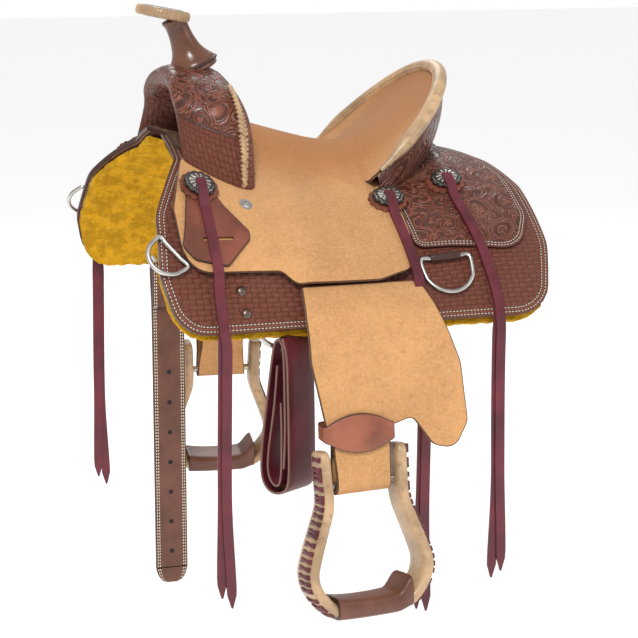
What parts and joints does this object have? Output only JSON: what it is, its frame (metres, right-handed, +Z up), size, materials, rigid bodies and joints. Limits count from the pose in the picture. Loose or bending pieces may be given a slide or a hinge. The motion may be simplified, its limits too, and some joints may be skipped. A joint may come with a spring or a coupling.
{
  "type": "western saddle",
  "caption": "Western ranch saddle with a carved fork and horn, suede seat, hanging fenders and stirrups, rigging plates and strings.",
  "frame": {"origin": "the ridge of the rack, on the centre line under the middle of the seat", "axes": "+Z up; +X from the horn to the cantle; left side of the saddle towards -Y"},
  "size_m": [0.4834, 0.6836, 0.8032],
  "materials": {
    "fleece": "dense golden wool pile",
    "wood": "bare tree",
    "silver": "antique silver",
    "steel": "plain",
    "burgundy_leather": "smooth oiled",
    "suede": "rough-out",
    "rawhide": "hard, varnished",
    "tooled_leather": "carved and stamped"
  },
  "bodies": {
    "saddle": {"tree_fork": "wood", "tree_cantle": "wood", "tree_bar_left": "wood", "tree_bar_right": "wood", "horn_post": "steel", "horn_wrap": "tooled_leather", "horn_cap": "tooled_leather", "horn_cap_binding": "rawhide", "fork_cover": "tooled_leather", "swell_lacing_left": "rawhide", "swell_lacing_right": "rawhide", "ground_seat": "wood", "seat_leather": "suede", "seat_jockey_left": "suede", "seat_jockey_right": "suede", "cantle_binding": "rawhide", "cantle_back": "tooled_leather", "skirt_left": "tooled_leather", "skirt_right": "tooled_leather", "fleece_left": "fleece", "fleece_right": "fleece", "rear_jockey_left": "tooled_leather", "rear_jockey_right": "tooled_leather", "latigo_keeper_left": "tooled_leather", "latigo_keeper_right": "tooled_leather", "rigging_plate_left": "steel", "rigging_plate_right": "steel", "concho_left_front": "silver", "lace_left_front": "burgundy_leather", "concho_left_middle": "silver", "lace_left_middle": "burgundy_leather", "concho_left_rear": "silver", "lace_left_rear": "burgundy_leather", "concho_right_front": "silver", "lace_right_front": "burgundy_leather", "concho_right_middle": "silver", "lace_right_middle": "burgundy_leather", "concho_right_rear": "silver", "lace_right_rear": "burgundy_leather"},
    "left_leather": {"stirrup_leather_left": "tooled_leather"},
    "left_fender": {"fender_left": "suede", "hobble_strap_left": "tooled_leather"},
    "left_stirrup": {"stirrup_left": "rawhide", "tread_left": "tooled_leather", "stirrup_bolt_left": "steel"},
    "breast_dee_left": {"breast_dee_left": "steel"},
    "flank_dee_left": {"flank_dee_left": "steel"},
    "right_leather": {"stirrup_leather_right": "tooled_leather"},
    "right_fender": {"fender_right": "suede", "hobble_strap_right": "tooled_leather"},
    "right_stirrup": {"stirrup_right": "rawhide", "tread_right": "tooled_leather", "stirrup_bolt_right": "steel"},
    "breast_dee_right": {"breast_dee_right": "steel"},
    "flank_dee_right": {"flank_dee_right": "steel"},
    "latigo": {"latigo": "burgundy_leather"},
    "off_billet": {"off_billet": "tooled_leather"}
  },
  "joints": [
    {"name": "left_leather_lift", "type": "hinge", "parent": "saddle", "child": "left_leather", "pos_m": [-0.018, -0.23851, -0.08493], "axis": [-1, 0, 0], "range_deg": [0, 80]},
    {"name": "left_fender_swing", "type": "hinge", "parent": "left_leather", "child": "left_fender", "pos_m": [-0.02096, -0.23851, -0.08493], "axis": [0, 1, 0], "range_deg": [-20, 20]},
    {"name": "left_stirrup_tilt", "type": "hinge", "parent": "left_fender", "child": "left_stirrup", "pos_m": [-0.027, -0.295, -0.297], "axis": [-0.9936, -0.1132, 0], "range_deg": [0, 35]},
    {"name": "breast_dee_left_swing", "type": "hinge", "parent": "saddle", "child": "breast_dee_left", "pos_m": [-0.218, -0.21713, -0.03951], "axis": [-0.5663, 0.4692, 0.6776], "range_deg": [0, 75]},
    {"name": "flank_dee_left_swing", "type": "hinge", "parent": "saddle", "child": "flank_dee_left", "pos_m": [0.1, -0.21999, -0.0625], "axis": [-0.9995, 0.0174, -0.0275], "range_deg": [0, 75]},
    {"name": "right_leather_lift", "type": "hinge", "parent": "saddle", "child": "right_leather", "pos_m": [-0.018, 0.23851, -0.08493], "axis": [1, 0, 0], "range_deg": [0, 80]},
    {"name": "right_fender_swing", "type": "hinge", "parent": "right_leather", "child": "right_fender", "pos_m": [-0.02096, 0.23851, -0.08493], "axis": [0, 1, 0], "range_deg": [-20, 20]},
    {"name": "right_stirrup_tilt", "type": "hinge", "parent": "right_fender", "child": "right_stirrup", "pos_m": [-0.027, 0.295, -0.297], "axis": [0.9936, -0.1132, 0], "range_deg": [0, 35]},
    {"name": "breast_dee_right_swing", "type": "hinge", "parent": "saddle", "child": "breast_dee_right", "pos_m": [-0.218, 0.21713, -0.03951], "axis": [0.5663, 0.4692, -0.6776], "range_deg": [0, 75]},
    {"name": "flank_dee_right_swing", "type": "hinge", "parent": "saddle", "child": "flank_dee_right", "pos_m": [0.1, 0.21999, -0.0625], "axis": [0.9995, 0.0174, 0.0275], "range_deg": [0, 75]},
    {"name": "latigo_swing", "type": "hinge", "parent": "saddle", "child": "latigo", "pos_m": [-0.114, -0.24096, -0.1422], "axis": [1, 0, 0], "range_deg": [0, 40]},
    {"name": "off_billet_swing", "type": "hinge", "parent": "saddle", "child": "off_billet", "pos_m": [-0.114, 0.24096, -0.1422], "axis": [-1, 0, 0], "range_deg": [0, 25]}
  ]
}
